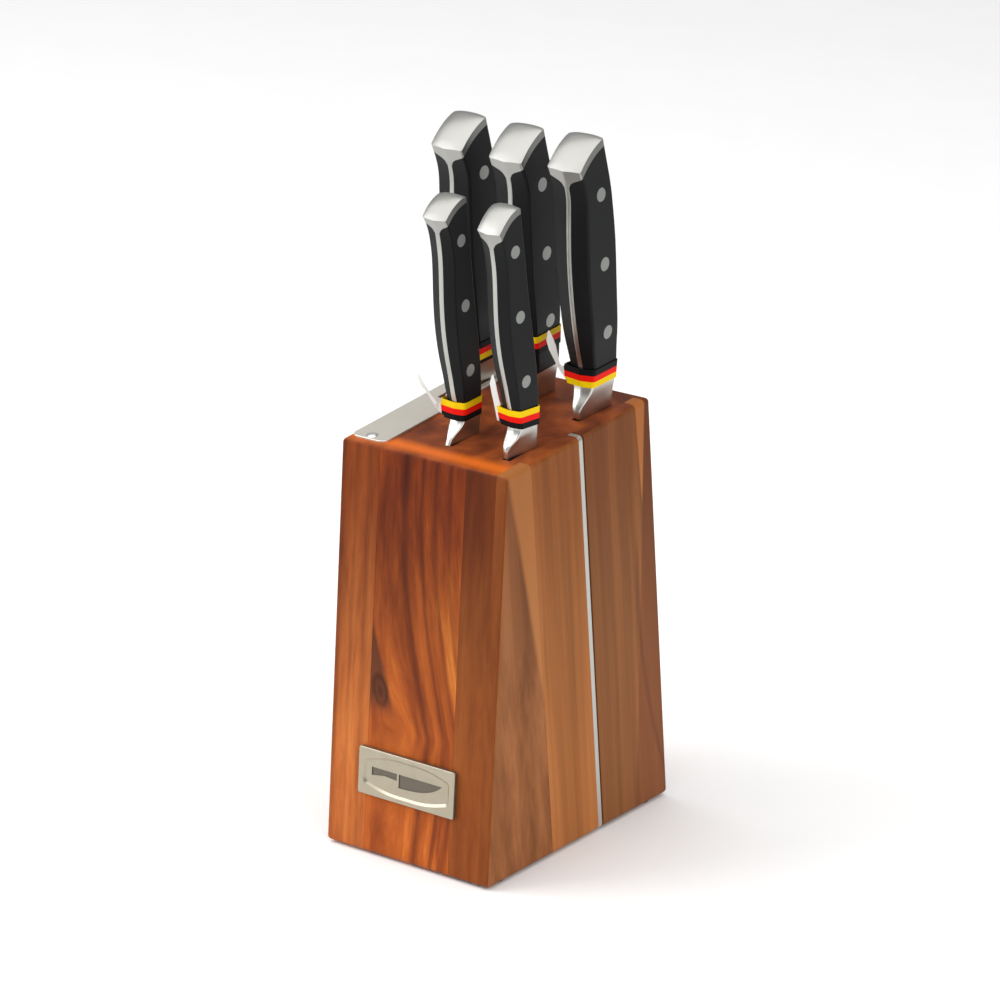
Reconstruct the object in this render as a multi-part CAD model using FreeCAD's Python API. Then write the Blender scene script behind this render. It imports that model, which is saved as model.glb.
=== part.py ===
import FreeCAD, Part

import math
import os

from FreeCAD import Placement, Rotation, Vector

# A countertop knife block made of laminated boards, with five knives that lift out of it.
# Units are millimetres. +X is to the right, -Y is the front with the badge, +Z is up.
# The origin is on the table, under the middle of the block's footprint.

# ---------------------------------------------------------------- block
FOOT_HEIGHT = 1.2
BLOCK_WIDTH = 102.0
BASE_DEPTH = 153.0
BACK_HEIGHT = 220.0
BACK_LEAN = 5.2          # degrees; the back, the slots and the knives all lean forward by this
FRONT_LEAN = 4.43        # degrees; the front face leans back
LOOP_ROUNDING = 2.4      # round the top face and round the base
CORNER_ROUNDING = 1.4    # on the four tall corners

# Places across the block: the middle of each layer that holds knife slots.
LEFT_SLOT_X = -35.7
MIDDLE_SLOT_X = 1.0
RIGHT_SLOT_X = 36.7
SLOT_WIDTH = 4.8

# Slots at the top face: the front end, the rear end, both measured from the top's front edge
# towards the back, and the tilt of the knife in degrees, which both ends follow.
CHEF_SLOT = (62.8, 102.9, 0.0)
UTILITY_SLOT = (18.4, 40.2, 1.0)
BREAD_SLOT = (76.1, 102.9, 0.45)
PARING_SLOT = (17.3, 39.0, 2.5)
CARVING_SLOT = (74.2, 101.0, 0.0)

LEFT_SEAM_X = -27.2      # glue lines seen on the front face
RIGHT_SEAM_X = 26.0
CORNER_SEAM = 18.6       # glue line on the right side, along the top
INNER_BOARD_EDGE = 44.3  # where the right inner board meets the outer side boards
STRIP_FRONT = 57.4       # front edge of the steel inlay, along the top
STRIP_WIDTH = 3.0
STRIP_GAP = 1.3          # open gap behind the inlay

# ---------------------------------------------------------------- metal trim on the block
PLATE_X = (-48.9, -27.4)
PLATE_ALONG = (3.7, 113.6)
PLATE_THICKNESS = 1.1
PLATE_CORNER = 4.5
PLATE_EDGE_ROUNDING = 0.35
PLATE_SLOT_WIDTH = 9.4
PLATE_SLOT_CORNER = 1.5
PLATE_SLOT_ALONG = (62.6, 103.6)
SCREW_X = -38.2
SCREW_INSET = 4.2
SCREW_HEAD_RADIUS = 3.1
SCREW_HEAD_HEIGHT = 0.9
SCREW_SHANK_RADIUS = 1.2
SCREW_LENGTH = 9.0

BADGE_WIDTH = 60.0
BADGE_HEIGHT = 24.5
BADGE_THICKNESS = 2.5
BADGE_CENTRE_X = -0.7
BADGE_CENTRE_UP = 43.6   # along the front face, from its lower edge
BADGE_CORNER = 1.2
BADGE_EDGE_ROUNDING = 0.45
BADGE_RECESS = 0.8
PANEL_FLOOR = (25.8, 4.9, 8.7)   # the panel's half width, and half height at the ends and middle
PANEL_RIM = (27.0, 6.1, 9.9)
PANEL_CORNER = 2.6
PANEL_BOW = 55.0                 # radius of the panel's bowed top and bottom
MOTIF_DEPTH = 0.5
BADGE_PIN_RADIUS = 1.0
BADGE_PIN_LENGTH = 6.0
BADGE_PIN_SPREAD = 22.0

FOOT_RADIUS = 5.0
FOOT_X = 43.4
FOOT_Y = 62.0

# ---------------------------------------------------------------- knives
TANG_HALF = 1.3
BLADE_HALF = 1.2         # half of the blade's thickness at the spine
EDGE_HALF = 0.2          # half of the blade's thickness behind the edge
BLADE_ROOT = 5.0         # how far the blade's plate reaches up into the bolster
SEAT_GAP = 0.3           # between the underside of a bolster and the top of the block
LABEL_THICKNESS = 0.3
LABEL_GAP = 0.25
LABEL_HEIGHT = 9.7
LABEL_STAND_OFF = 3.2    # how far the band stands away from the belly's left corner

# Stations of the large handle, from the bolster's foot to the pommel. Each holds: height along
# the knife, belly line, spine line, half width at the belly, half width at the spine, crown of
# the belly side, crown of the spine side. Belly and spine are measured towards the spine.
LARGE_STATIONS = [
    (-4.0, -0.6, 24.2, 1.2, 3.0, 0.3, 0.3),
    (0.0, -1.2, 24.4, 1.6, 3.4, 0.4, 0.3),
    (4.0, -2.0, 24.5, 2.2, 4.0, 0.6, 0.4),
    (9.0, 0.2, 24.7, 3.9, 4.7, 1.0, 0.5),
    (14.0, 3.4, 24.9, 5.7, 5.9, 1.4, 0.7),
    (18.0, 4.3, 25.1, 6.7, 6.7, 1.7, 0.8),
    (28.0, 3.5, 25.4, 7.8, 7.8, 2.1, 1.0),
    (40.0, 1.4, 25.7, 9.0, 9.0, 2.6, 1.3),
    (55.0, -0.2, 26.0, 9.75, 9.75, 3.0, 1.6),
    (78.0, -1.0, 26.3, 10.15, 10.15, 2.9, 1.6),
    (100.0, 0.1, 25.9, 10.25, 10.25, 2.2, 1.5),
    (115.0, 1.1, 24.9, 10.15, 10.15, 1.6, 1.5),
    (124.0, -0.6, 23.7, 10.0, 10.0, 1.3, 1.5),
    (130.5, -2.6, 22.4, 9.95, 9.95, 1.1, 1.4),
    (145.0, -6.4, 19.5, 9.95, 9.95, 1.0, 1.3),
]
SMALL_STATIONS = [
    (-4.0, -5.2, 17.4, 0.8, 2.8, 0.2, 0.3),
    (0.0, -3.6, 18.0, 1.3, 3.3, 0.3, 0.3),
    (4.0, -1.8, 18.5, 2.3, 3.8, 0.6, 0.4),
    (8.0, 2.2, 18.6, 4.1, 4.3, 0.9, 0.5),
    (12.0, 4.3, 18.7, 4.7, 4.8, 1.2, 0.6),
    (18.0, 3.9, 19.2, 5.3, 5.3, 1.4, 0.7),
    (27.0, 2.4, 19.6, 5.9, 5.9, 1.7, 0.8),
    (38.0, 1.0, 19.5, 6.5, 6.5, 2.0, 1.0),
    (52.0, -0.7, 19.0, 6.9, 6.9, 2.3, 1.2),
    (75.0, -0.7, 18.1, 7.0, 7.0, 2.4, 1.3),
    (94.0, 0.7, 17.8, 7.0, 7.0, 2.3, 1.3),
    (104.0, 0.5, 17.7, 7.0, 7.0, 2.0, 1.2),
    (111.0, -0.3, 17.5, 7.0, 7.0, 1.4, 1.2),
    (116.5, -2.3, 17.2, 7.1, 7.1, 1.0, 1.1),
    (130.0, -6.6, 15.5, 7.1, 7.1, 0.9, 1.0),
]

LARGE_HANDLE = {
    "stations": LARGE_STATIONS,
    "pivot": 12.0,       # where a knife's twist is centred, towards the spine
    "pommel_top": [
        (-6.0, 124.8), (-1.5, 130.8), (8.8, 139.2), (15.0, 142.0), (19.0, 142.5), (21.2, 141.2),
        (23.0, 138.5), (24.5, 135.0),
    ],
    "pommel_crown": 1.2,     # how far the pommel's top falls towards the flanks
    "cap_line": [(-6.0, 121.8), (-1.5, 128.4), (8.8, 137.4), (21.0, 142.2), (32.0, 142.6)],
    "cap_flank": 3.6,    # from the cap line down to the steel's lower edge on the flanks
    "cap_rise": 0.42,    # how much deeper the steel gets per millimetre towards the tang
    "cap_fillet": 3.6,   # extra depth of the concave corner beside the tang
    "rivets": [(15.6, 42.4), (14.7, 78.4), (14.4, 114.3)],
    "rivet_radius": 3.5,
    "corner": 1.3,
}
SMALL_HANDLE = {
    "stations": SMALL_STATIONS,
    "pivot": 9.0,
    "pommel_top": [
        (-7.0, 110.4), (-2.6, 116.5), (3.0, 121.5), (9.0, 124.3), (13.5, 125.0), (16.0, 124.2),
        (17.8, 122.0), (19.2, 118.5),
    ],
    "pommel_crown": 0.8,
    "cap_line": [(-7.0, 108.0), (-2.6, 114.6), (3.0, 120.2), (9.0, 123.6), (15.5, 124.8), (24.0, 124.4)],
    "cap_flank": 3.7,
    "cap_rise": 0.46,
    "cap_fillet": 2.6,
    "rivets": [(10.1, 35.8), (9.2, 70.0), (9.6, 103.5)],
    "rivet_radius": 3.15,
    "corner": 1.1,
}

# The paring knife's pommel falls a little lower towards the belly.
PARING_HANDLE = dict(
    SMALL_HANDLE,
    pommel_top=[
        (-7.0, 107.6), (-2.6, 114.0), (3.0, 119.9), (9.0, 124.0), (13.5, 125.0), (16.0, 124.2),
        (17.8, 122.0), (19.2, 118.5),
    ],
    cap_line=[(-7.0, 104.0), (-2.6, 111.4), (3.0, 118.2), (9.0, 123.0), (15.5, 124.8), (24.0, 124.4)],
)

# Each knife: its place across and along the top, how it tilts forward and twists about its own
# axis, the height along the handle that meets the top, how much further forward than the
# handle's stations the foot reaches there, where the bolster ends and where the label begins.
# Blade outlines are points (towards the spine, along the knife): heel, edge to tip, tip to spine.
KNIVES = {
    "chef": {
        "handle": LARGE_HANDLE, "x": -35.2, "along": 78.0, "tilt": 0.0, "twist": -2.8,
        "foot": 1.3, "toe": 0.0, "bolster_top": 14.0, "label_from": 16.5, "label_slope": 0.0,
        "heel": [(2.0, 5.2), (-12.8, 3.6)],
        "edge": [(-14.2, -2.0), (-13.4, -70.0), (-6.0, -140.0), (9.0, -180.0), (21.5, -200.0)],
        "spine": [(21.5, -200.0), (23.6, -170.0), (24.1, -110.0), (24.2, -2.0)],
        "serrated": False,
    },
    "bread": {
        "handle": LARGE_HANDLE, "x": 1.0, "along": 77.9, "tilt": 0.45, "twist": 0.0,
        "foot": 1.4, "toe": 0.0, "bolster_top": 16.4, "label_from": 27.5, "label_slope": 0.0,
        "heel": [(-1.0, 2.0)],
        "edge": [(-1.0, -2.0), (-1.0, -60.0), (-1.0, -130.0), (1.5, -182.0), (13.0, -201.0)],
        "spine": [(13.0, -201.0), (21.0, -190.0), (24.1, -150.0), (24.2, -2.0)],
        "serrated": True,
    },
    "carving": {
        "handle": LARGE_HANDLE, "x": 37.2, "along": 76.0, "tilt": 0.0, "twist": 0.0,
        "foot": 0.0, "toe": 0.0, "bolster_top": 16.6, "label_from": 15.9, "label_slope": -0.03,
        "heel": [(-1.0, 2.0)],
        "edge": [(-1.0, -2.0), (-0.8, -70.0), (1.2, -130.0), (9.0, -178.0), (22.0, -201.0)],
        "spine": [(22.0, -201.0), (23.8, -170.0), (24.1, -110.0), (24.2, -2.0)],
        "serrated": False,
    },
    "utility": {
        "handle": SMALL_HANDLE, "x": 1.0, "along": 21.6, "tilt": 1.0, "twist": 0.0,
        "foot": 0.0, "toe": 1.0, "bolster_top": 12.0, "label_from": 10.6, "label_slope": -0.05,
        "heel": [(-2.4, 2.0)],
        "edge": [(-2.4, -2.0), (-2.0, -50.0), (0.0, -90.0), (7.0, -116.0), (15.6, -131.0)],
        "spine": [(15.6, -131.0), (17.4, -100.0), (17.7, -60.0), (17.8, -2.0)],
        "serrated": False,
    },
    "paring": {
        "handle": PARING_HANDLE, "x": 36.9, "along": 20.4, "tilt": 2.5, "twist": -4.3,
        "foot": -1.9, "toe": -1.0, "bolster_top": 12.0, "label_from": 12.8, "label_slope": -0.15,
        "heel": [(-2.4, 2.0)],
        "edge": [(-2.4, -2.0), (-2.0, -40.0), (0.5, -70.0), (8.0, -90.0), (15.8, -101.0)],
        "spine": [(15.8, -101.0), (17.4, -80.0), (17.7, -50.0), (17.8, -2.0)],
        "serrated": False,
    },
}

# Each label's loose tail, from near the band to its tip: the distance towards the spine there,
# then its lower and its upper edge (across, along the knife).
TAILS = {
    "utility": [
        (3.5, (-10.6, 13.7), (-10.1, 16.8)), (2.5, (-11.7, 16.5), (-9.8, 18.0)),
        (1.5, (-14.4, 22.2), (-13.1, 23.0)), (0.5, (-17.6, 26.5), (-15.6, 27.7)),
        (0.0, (-18.9, 32.0), (-18.2, 32.4)),
    ],
    "paring": [
        (4.5, (-9.7, 13.8), (-6.6, 22.9)), (4.0, (-10.3, 21.9), (-6.7, 24.9)),
        (3.5, (-10.8, 27.8), (-7.1, 29.8)), (3.0, (-11.0, 33.8), (-7.3, 35.2)),
        (3.0, (-9.2, 38.4), (-8.2, 38.9)),
    ],
    "carving": [
        (4.5, (-12.5, 20.9), (-11.7, 24.2)), (3.0, (-13.3, 24.4), (-12.0, 26.3)),
        (1.5, (-16.9, 33.3), (-12.5, 35.7)), (1.0, (-17.7, 38.1), (-13.7, 39.9)),
        (0.5, (-16.1, 43.3), (-15.5, 43.9)),
    ],
    "bread": [(4.0, (-13.2, 30.0), (-12.6, 36.0)), (3.5, (-15.0, 32.0), (-14.6, 36.0))],
    "chef": [(5.0, (-11.2, 18.5), (-10.8, 25.0)), (4.5, (-12.2, 20.5), (-11.6, 25.5))],
}


# ---------------------------------------------------------------- leaning frame
# Board and knife shapes are drawn in a frame that leans with the knives: x across the block,
# y along the top from its front edge to the back, z along the knives, 0 at the top face.
def tangent(degrees):
    return math.tan(math.radians(degrees))


TOP_BACK_Y = BASE_DEPTH / 2 - BACK_HEIGHT * tangent(BACK_LEAN)
TOP_FRONT_Z = (
    (BACK_HEIGHT - (TOP_BACK_Y + BASE_DEPTH / 2) * tangent(BACK_LEAN))
    / (1 - tangent(FRONT_LEAN) * tangent(BACK_LEAN))
)
TOP_FRONT_Y = -BASE_DEPTH / 2 + TOP_FRONT_Z * tangent(FRONT_LEAN)
LEANING = Placement(
    Vector(0, TOP_FRONT_Y, TOP_FRONT_Z + FOOT_HEIGHT), Rotation(Vector(1, 0, 0), BACK_LEAN)
)
TOP_DEPTH = (TOP_BACK_Y - TOP_FRONT_Y) / math.cos(math.radians(BACK_LEAN))


def lean(shape):
    """The shape, moved from the leaning frame to the part's own frame."""
    moved = shape.copy()
    moved.Placement = LEANING.multiply(moved.Placement)
    return moved


def box(x_range, y_range, z_range):
    low = Vector(x_range[0], y_range[0], z_range[0])
    return Part.makeBox(
        x_range[1] - x_range[0], y_range[1] - y_range[0], z_range[1] - z_range[0], low
    )


def prism(points, direction):
    """A solid: the closed outline through the points, pushed along the direction."""
    outline = Part.makePolygon(points + [points[0]])
    return Part.Face(outline).extrude(direction)


def only_solid(shape):
    """The largest solid of a boolean's result."""
    return max(shape.Solids, key=lambda solid: solid.Volume)


def guided_curve(points):
    """A smooth curve from the first point to the last, drawn towards those between."""
    curve = Part.BSplineCurve()
    curve.buildFromPoles(points)
    return curve.toShape()


# ---------------------------------------------------------------- boards
def block_body():
    """The block's whole outer shape with rounded edges, in the leaning frame."""
    half = BASE_DEPTH / 2
    profile = [
        Vector(-BLOCK_WIDTH / 2, -half, FOOT_HEIGHT),
        Vector(-BLOCK_WIDTH / 2, half, FOOT_HEIGHT),
        Vector(-BLOCK_WIDTH / 2, TOP_BACK_Y, FOOT_HEIGHT + BACK_HEIGHT),
        Vector(-BLOCK_WIDTH / 2, TOP_FRONT_Y, FOOT_HEIGHT + TOP_FRONT_Z),
    ]
    body = prism(profile, Vector(BLOCK_WIDTH, 0, 0))
    loops = [edge for edge in body.Edges if not is_tall(edge)]
    body = body.makeFillet(LOOP_ROUNDING, loops)
    corners = [edge for edge in body.Edges if is_tall(edge)]
    body = body.makeFillet(CORNER_ROUNDING, corners)
    body.Placement = LEANING.inverse()
    return body


def is_tall(edge):
    return edge.BoundBox.ZLength > BACK_HEIGHT / 2


def board(body, x_range, front=(-80.0, 0.0), rear=(200.0, 0.0)):
    """The part of the block's outer shape between two planes across and two planes along.

    Each plane along is its place at the top face and its tilt."""
    low, high = -260.0, 20.0
    corners = [
        (front[0] - low * tangent(front[1]), low), (front[0] - high * tangent(front[1]), high),
        (rear[0] - high * tangent(rear[1]), high), (rear[0] - low * tangent(rear[1]), low),
    ]
    space = prism(
        [Vector(x_range[0], y, z) for y, z in corners], Vector(x_range[1] - x_range[0], 0, 0)
    )
    return only_solid(body.common(space))


def slot_front(slot):
    return (slot[0], slot[2])


def slot_rear(slot):
    return (slot[1], slot[2])


def block_boards(body):
    """Every board and spacer strip, by name. The slots are the spaces between the strips."""
    edge = BLOCK_WIDTH / 2
    reach = SLOT_WIDTH / 2
    left = (LEFT_SLOT_X - reach, LEFT_SLOT_X + reach)
    middle = (MIDDLE_SLOT_X - reach, MIDDLE_SLOT_X + reach)
    right = (RIGHT_SLOT_X - reach, RIGHT_SLOT_X + reach)
    outer = (INNER_BOARD_EDGE, edge)
    seam = (CORNER_SEAM, 0.0)
    strip_front = (STRIP_FRONT, 0.0)
    strip_rear = (STRIP_FRONT + STRIP_WIDTH, 0.0)
    gap_rear = (STRIP_FRONT + STRIP_WIDTH + STRIP_GAP, 0.0)
    return {
        "left_board": board(body, (-edge, left[0])),
        "left_slot_front_spacer": board(body, left, rear=slot_front(CHEF_SLOT)),
        "left_slot_rear_spacer": board(body, left, front=slot_rear(CHEF_SLOT)),
        "left_inner_board": board(body, (left[1], LEFT_SEAM_X)),
        "left_core_board": board(body, (LEFT_SEAM_X, middle[0])),
        "middle_slot_front_spacer": board(body, middle, rear=slot_front(UTILITY_SLOT)),
        "middle_slot_centre_spacer": board(
            body, middle, slot_rear(UTILITY_SLOT), slot_front(BREAD_SLOT)
        ),
        "middle_slot_rear_spacer": board(body, middle, front=slot_rear(BREAD_SLOT)),
        "right_core_board": board(body, (middle[1], RIGHT_SEAM_X)),
        "right_slot_board": board(body, (RIGHT_SEAM_X, right[0])),
        "right_slot_front_spacer": board(body, right, rear=slot_front(PARING_SLOT)),
        "right_slot_centre_spacer": board(
            body, right, slot_rear(PARING_SLOT), slot_front(CARVING_SLOT)
        ),
        "right_slot_rear_spacer": board(body, right, front=slot_rear(CARVING_SLOT)),
        "right_inner_board": board(body, (right[1], INNER_BOARD_EDGE)),
        "right_outer_corner_board": board(body, outer, rear=seam),
        "right_outer_front_board": board(body, outer, seam, strip_front),
        "right_outer_rear_board": board(body, outer, front=gap_rear),
        "side_inlay_strip": board(body, outer, strip_front, strip_rear),
    }


# ---------------------------------------------------------------- cover plate
def cover_plate():
    """Flat steel plate on the top, with rounded corners and a slot for the chef's knife."""
    plate = box(PLATE_X, PLATE_ALONG, (0.0, PLATE_THICKNESS))
    upright = [edge for edge in plate.Edges if abs(edge.tangentAt(0).z) > 0.9]
    plate = plate.makeFillet(PLATE_CORNER, upright)
    top_edges = [edge for edge in plate.Edges if edge.BoundBox.ZMin > PLATE_THICKNESS - 0.01]
    plate = plate.makeFillet(PLATE_EDGE_ROUNDING, top_edges)
    reach = PLATE_SLOT_WIDTH / 2
    slot = box(
        (LEFT_SLOT_X - reach, LEFT_SLOT_X + reach),
        PLATE_SLOT_ALONG,
        (-1.0, PLATE_THICKNESS + 1.0),
    )
    ends = [edge for edge in slot.Edges if abs(edge.tangentAt(0).z) > 0.9]
    slot = slot.makeFillet(PLATE_SLOT_CORNER, ends)
    holes = [screw_shank(y) for y in screw_places()]
    return only_solid(plate.cut([slot] + holes))


def screw_places():
    return (PLATE_ALONG[0] + SCREW_INSET, PLATE_ALONG[1] - SCREW_INSET)


def screw_shank(y):
    start = Vector(SCREW_X, y, -SCREW_LENGTH)
    return Part.makeCylinder(SCREW_SHANK_RADIUS, SCREW_LENGTH + PLATE_THICKNESS, start)


def cover_screw(y):
    """A screw with a low domed head, its slot left out."""
    dome_radius = (SCREW_HEAD_RADIUS ** 2 + SCREW_HEAD_HEIGHT ** 2) / (2 * SCREW_HEAD_HEIGHT)
    centre = Vector(SCREW_X, y, PLATE_THICKNESS + SCREW_HEAD_HEIGHT - dome_radius)
    ball = Part.makeSphere(dome_radius, centre)
    reach = 2 * SCREW_HEAD_RADIUS
    above = box(
        (SCREW_X - reach, SCREW_X + reach), (y - reach, y + reach),
        (PLATE_THICKNESS, PLATE_THICKNESS + reach),
    )
    head = ball.common(above)
    return only_solid(head.fuse(screw_shank(y)).removeSplitter())


# ---------------------------------------------------------------- badge
# The badge is drawn flat, x across and y up, its back on z = 0, and then laid on the front face.
BADGE_PLACE = Placement(
    Vector(
        BADGE_CENTRE_X,
        -BASE_DEPTH / 2 + BADGE_CENTRE_UP * math.sin(math.radians(FRONT_LEAN)),
        FOOT_HEIGHT + BADGE_CENTRE_UP * math.cos(math.radians(FRONT_LEAN)),
    ),
    Rotation(Vector(1, 0, 0), 90.0 - FRONT_LEAN),
)


def barrel_wire(half_width, half_end, half_middle, z):
    """An outline with straight upright ends, a bowed top and bottom and rounded corners."""
    shoulder = half_width / 2
    quarter = [(half_width, half_end), (shoulder, half_middle)]
    corners = quarter + [(-x, y) for x, y in reversed(quarter)]
    corners = corners + [(-x, -y) for x, y in corners]
    radii = [PANEL_CORNER, PANEL_BOW, PANEL_BOW, PANEL_CORNER] * 2
    return rounded_wire([Vector(x, y, z) for x, y in corners], radii)


def sunken_panel():
    """The space of the badge's bowed panel, its sides sloping in towards its floor."""
    floor = BADGE_THICKNESS - BADGE_RECESS
    wires = [barrel_wire(*PANEL_FLOOR, floor), barrel_wire(*PANEL_RIM, BADGE_THICKNESS + 0.01)]
    return Part.makeLoft(wires, True, True)


def knife_motif(low):
    """A plain kitchen knife, sunk into the panel's floor: the badge's only decoration."""
    depth = Vector(0, 0, BADGE_THICKNESS - low)
    tip = Vector(22.0, 2.7, low)
    heel_top = Vector(-5.0, 2.7, low)
    heel_bottom = Vector(-5.0, -4.4, low)
    belly = guided_curve([heel_bottom, Vector(9.0, -4.4, low), Vector(17.0, -2.4, low), tip])
    outline = Part.Wire([
        belly, Part.makeLine(tip, heel_top), Part.makeLine(heel_top, heel_bottom)
    ])
    grip = [
        Vector(-6.2, 2.7, low), Vector(-6.2, -0.9, low), Vector(-14.0, -0.3, low),
        Vector(-22.0, -1.6, low), Vector(-22.0, 2.7, low),
    ]
    return [Part.Face(outline).extrude(depth), prism(grip, depth)]


def badge():
    """A rectangular metal plate with a bowed, sunken panel and a plain motif."""
    plate = Part.makeBox(
        BADGE_WIDTH, BADGE_HEIGHT, BADGE_THICKNESS, Vector(-BADGE_WIDTH / 2, -BADGE_HEIGHT / 2, 0)
    )
    upright = [edge for edge in plate.Edges if abs(edge.tangentAt(0).z) > 0.9]
    plate = plate.makeFillet(BADGE_CORNER, upright)
    front = [edge for edge in plate.Edges if edge.BoundBox.ZMin > BADGE_THICKNESS - 0.01]
    plate = plate.makeFillet(BADGE_EDGE_ROUNDING, front)
    motif = knife_motif(BADGE_THICKNESS - BADGE_RECESS - MOTIF_DEPTH)
    holes = [badge_pin_shape(side) for side in (-1, 1)]
    return only_solid(plate.cut([sunken_panel()] + motif + holes))


def badge_pin_shape(side):
    """A pin from inside the badge back into the wood, in the badge's own frame."""
    start = Vector(side * BADGE_PIN_SPREAD, 0, -BADGE_PIN_LENGTH)
    return Part.makeCylinder(BADGE_PIN_RADIUS, BADGE_PIN_LENGTH + 1.0, start)


def place_on_front(shape):
    moved = shape.copy()
    moved.Placement = BADGE_PLACE.multiply(moved.Placement)
    return moved


# ---------------------------------------------------------------- feet
def feet():
    places = [(x, y) for x in (-FOOT_X, FOOT_X) for y in (-FOOT_Y, FOOT_Y)]
    return [Part.makeCylinder(FOOT_RADIUS, FOOT_HEIGHT, Vector(x, y, 0)) for x, y in places]


# ---------------------------------------------------------------- handle sections
def rounded_wire(points, radii):
    """A closed outline through flat points, with an arc of the given radius at each corner."""
    edges = []
    starts = []
    ends = []
    count = len(points)
    for index, corner in enumerate(points):
        before = points[index - 1] - corner
        after = points[(index + 1) % count] - corner
        half_angle = before.getAngle(after) / 2
        cut = radii[index] / math.tan(half_angle)
        into = before.normalize()
        out = after.normalize()
        start = corner + into * cut
        end = corner + out * cut
        middle_direction = (into + out).normalize()
        middle = corner + middle_direction * (radii[index] / math.sin(half_angle) - radii[index])
        starts.append(start)
        ends.append(end)
        edges.append(Part.Arc(start, middle, end).toShape())
    outline = []
    for index, edge in enumerate(edges):
        outline.append(edge)
        outline.append(Part.makeLine(ends[index], starts[(index + 1) % count]))
    return Part.Wire(outline)


def handle_section(station, corner):
    """The handle's outline at one station, with flat facets beside the belly and the spine."""
    height, belly, spine, belly_half, spine_half, belly_crown, spine_crown = station
    points = [
        Vector(0, belly, height),
        Vector(belly_half, belly + belly_crown, height),
        Vector(spine_half, spine - spine_crown, height),
        Vector(0, spine, height),
        Vector(-spine_half, spine - spine_crown, height),
        Vector(-belly_half, belly + belly_crown, height),
    ]
    soft = min(corner, belly_half * 0.35)
    ridge = min(4.0, belly_half * 0.9)
    return rounded_wire(points, [ridge, soft, corner, 4.0, corner, soft])


def handle_body(handle, toe):
    """One smooth solid from the bolster's foot past the pommel."""
    sections = []
    for height, belly, *others in handle["stations"]:
        if height <= 0:
            belly = belly - toe
        sections.append(handle_section((height, belly, *others), handle["corner"]))
    return Part.makeLoft(sections, True, False)


def line_wire(line, x, drop):
    """A line (towards the spine, along the knife), lowered by drop and closed far above it."""
    points = [Vector(x, y, z - drop) for y, z in line]
    curve = Part.BSplineCurve()
    curve.interpolate(points)
    high = 200.0
    corners = [points[-1], Vector(x, points[-1].y, high), Vector(x, points[0].y, high), points[0]]
    sides = [Part.makeLine(a, b) for a, b in zip(corners, corners[1:])]
    return Part.Wire([curve.toShape()] + sides)


def widest(handle):
    return max(station[3] for station in handle["stations"])


def above_pommel(handle):
    """Everything above the pommel's top, which falls a little towards both flanks."""
    half = widest(handle)
    wires = []
    for share in (-1.3, -1.0, -0.8, -0.4, 0.0, 0.4, 0.8, 1.0, 1.3):
        drop = handle["pommel_crown"] * (share ** 4 + share ** 2) / 2
        wires.append(line_wire(handle["pommel_top"], share * half, drop))
    return Part.makeLoft(wires, True, False)


def cap_space(handle):
    """The space of the pommel's steel cap: shallow on the flanks, deeper beside the tang."""
    half = widest(handle)
    halves = []
    for side in (-1, 1):
        wires = []
        for out in (0.0, 1.0, 1.6, 2.6, 4.2, half + 2.0):
            slope = handle["cap_rise"] * (half - out)
            corner = handle["cap_fillet"] * math.exp(-max(out - TANG_HALF, 0.0) / 0.8)
            drop = handle["cap_flank"] + slope + corner
            wires.append(line_wire(handle["cap_line"], side * out, drop))
        halves.append(Part.makeLoft(wires, True, True))
    return halves[0].fuse(halves[1])


# ---------------------------------------------------------------- blades
def blade(knife):
    """The blade's outline, thinned towards the edge, with its spine at full thickness."""
    edge = [Vector(0, y, z) for y, z in knife["edge"]]
    spine = [Vector(0, y, z) for y, z in knife["spine"]]
    heel = [Vector(0, y, z) for y, z in knife["heel"]]
    corners = [spine[-1], Vector(0, spine[-1].y, BLADE_ROOT)] + heel + [edge[0]]
    sides = [Part.makeLine(a, b) for a, b in zip(corners, corners[1:])]
    outline = Part.Wire([guided_curve(edge), guided_curve(spine)] + sides)
    plate = Part.Face(outline).extrude(Vector(2 * BLADE_HALF, 0, 0))
    plate.translate(Vector(-BLADE_HALF, 0, 0))
    ground = only_solid(plate.common(blade_wedge(knife)))
    if knife["serrated"]:
        ground = only_solid(ground.cut(scallops(knife)))
    return ground


def blade_wedge(knife):
    """A long wedge that is thin at the edge and as thick as the blade at the spine."""
    edge_y = min(y for y, z in knife["edge"]) - 0.5
    spine_y = knife["spine"][-1][0]
    tip_z = min(z for y, z in knife["edge"]) - 5.0
    section = [
        Vector(-EDGE_HALF, edge_y, tip_z), Vector(EDGE_HALF, edge_y, tip_z),
        Vector(BLADE_HALF, spine_y - 3.0, tip_z), Vector(BLADE_HALF, spine_y + 2.0, tip_z),
        Vector(-BLADE_HALF, spine_y + 2.0, tip_z), Vector(-BLADE_HALF, spine_y - 3.0, tip_z),
    ]
    return prism(section, Vector(0, 0, 20.0 - tip_z))


def scallops(knife):
    """Round bites along a bread knife's edge."""
    pitch = 6.5
    radius = 4.2
    depth = 1.1
    edge_y = knife["edge"][0][0]
    bites = []
    for number in range(25):
        centre = Vector(-5.0, edge_y - radius + depth, -16.0 - pitch * number)
        bites.append(Part.makeCylinder(radius, 10.0, centre, Vector(1, 0, 0)))
    return bites


# ---------------------------------------------------------------- knives
def rivet_bars(handle):
    radius = handle["rivet_radius"]
    ends = [Vector(-20.0, y, z) for y, z in handle["rivets"]]
    return [Part.makeCylinder(radius, 40.0, end, Vector(1, 0, 0)) for end in ends]


def station_at(handle, height):
    """The handle's sizes at any height, between its stations."""
    stations = handle["stations"]
    for low, high in zip(stations, stations[1:]):
        if low[0] <= height <= high[0]:
            share = (height - low[0]) / (high[0] - low[0])
            return tuple(a + share * (b - a) for a, b in zip(low, high))
    return stations[-1]


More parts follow.
